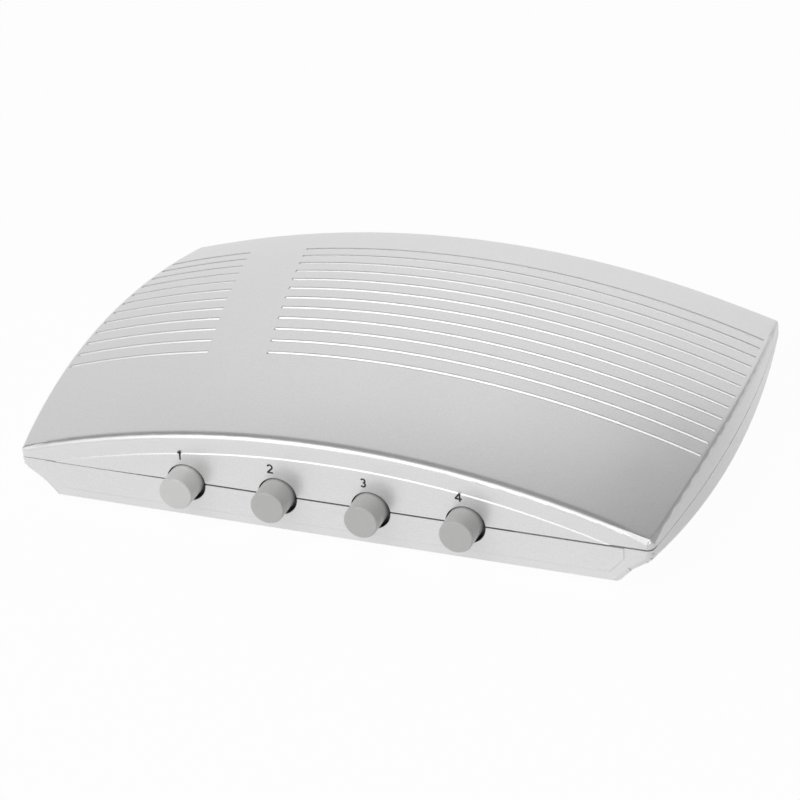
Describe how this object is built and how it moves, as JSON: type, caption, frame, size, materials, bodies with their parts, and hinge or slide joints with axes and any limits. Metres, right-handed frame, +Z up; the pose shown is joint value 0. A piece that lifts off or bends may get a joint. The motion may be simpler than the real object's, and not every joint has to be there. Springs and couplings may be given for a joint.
{
  "type": "hdmi switch",
  "caption": "Domed desktop switch box with a row of interlocked push buttons in front that choose which video input at the rear feeds the output socket.",
  "frame": {"origin": "on the surface that the feet stand on, under the middle of the box with its buttons out", "axes": "+X to the right seen from the front, along the row of buttons; +Y from the buttons to the sockets; +Z up"},
  "size_m": [0.1804, 0.124, 0.0346],
  "materials": {
    "case_plastic": "silver-grey moulded case plastic with a satin surface",
    "cap_plastic": "light grey moulded caps",
    "dark_plastic": "black moulded plastic",
    "switch_plastic": "off-white moulded switch bodies",
    "spring_steel": "drawn spring wire",
    "sheet_steel": "zinc-plated sheet steel and screws",
    "socket_metal": "bright plated socket shells",
    "contact_gold": "gold-plated contacts",
    "board": "green solder-masked circuit board",
    "foot_rubber": "black stick-on rubber feet"
  },
  "bodies": {
    "housing": {"top_cover": "case_plastic", "bottom_shell": "case_plastic", "return_spring_1": "spring_steel", "return_spring_2": "spring_steel", "return_spring_3": "spring_steel", "return_spring_4": "spring_steel", "switch_body_1": "switch_plastic", "switch_body_2": "switch_plastic", "switch_body_3": "switch_plastic", "switch_body_4": "switch_plastic", "switch_frame": "sheet_steel", "latch_spring": "spring_steel", "switch_pins": "sheet_steel", "circuit_board": "board", "socket_shell_1": "socket_metal", "socket_shell_2": "socket_metal", "socket_shell_3": "socket_metal", "socket_shell_4": "socket_metal", "socket_shell_5": "socket_metal", "socket_tongue_1": "dark_plastic", "socket_tongue_2": "dark_plastic", "socket_tongue_3": "dark_plastic", "socket_tongue_4": "dark_plastic", "socket_tongue_5": "dark_plastic", "socket_contacts": "contact_gold", "case_screws": "sheet_steel", "board_screws": "sheet_steel", "foot_1": "foot_rubber", "foot_2": "foot_rubber", "foot_3": "foot_rubber", "foot_4": "foot_rubber"},
    "button_1": {"button_cap_1": "cap_plastic", "plunger_1": "dark_plastic"},
    "button_2": {"button_cap_2": "cap_plastic", "plunger_2": "dark_plastic"},
    "button_3": {"button_cap_3": "cap_plastic", "plunger_3": "dark_plastic"},
    "button_4": {"button_cap_4": "cap_plastic", "plunger_4": "dark_plastic"},
    "latch": {"latch_bar": "sheet_steel"}
  },
  "joints": [
    {"name": "button_1_press", "type": "slide", "parent": "housing", "child": "button_1", "axis": [0, 1, 0], "range_m": [0, 0.004], "stiffness_N_per_m": 300, "springref_m": -0.004, "deforming": ["return_spring_1"]},
    {"name": "button_2_press", "type": "slide", "parent": "housing", "child": "button_2", "axis": [0, 1, 0], "range_m": [0, 0.004], "stiffness_N_per_m": 300, "springref_m": -0.004, "deforming": ["return_spring_2"]},
    {"name": "button_3_press", "type": "slide", "parent": "housing", "child": "button_3", "axis": [0, 1, 0], "range_m": [0, 0.004], "stiffness_N_per_m": 300, "springref_m": -0.004, "deforming": ["return_spring_3"]},
    {"name": "button_4_press", "type": "slide", "parent": "housing", "child": "button_4", "axis": [0, 1, 0], "range_m": [0, 0.004], "stiffness_N_per_m": 300, "springref_m": -0.004, "deforming": ["return_spring_4"]},
    {"name": "latch_slide", "type": "slide", "parent": "housing", "child": "latch", "axis": [1, 0, 0], "range_m": [0, 0.0012], "stiffness_N_per_m": 200, "springref_m": -0.003, "deforming": ["latch_spring"]}
  ]
}
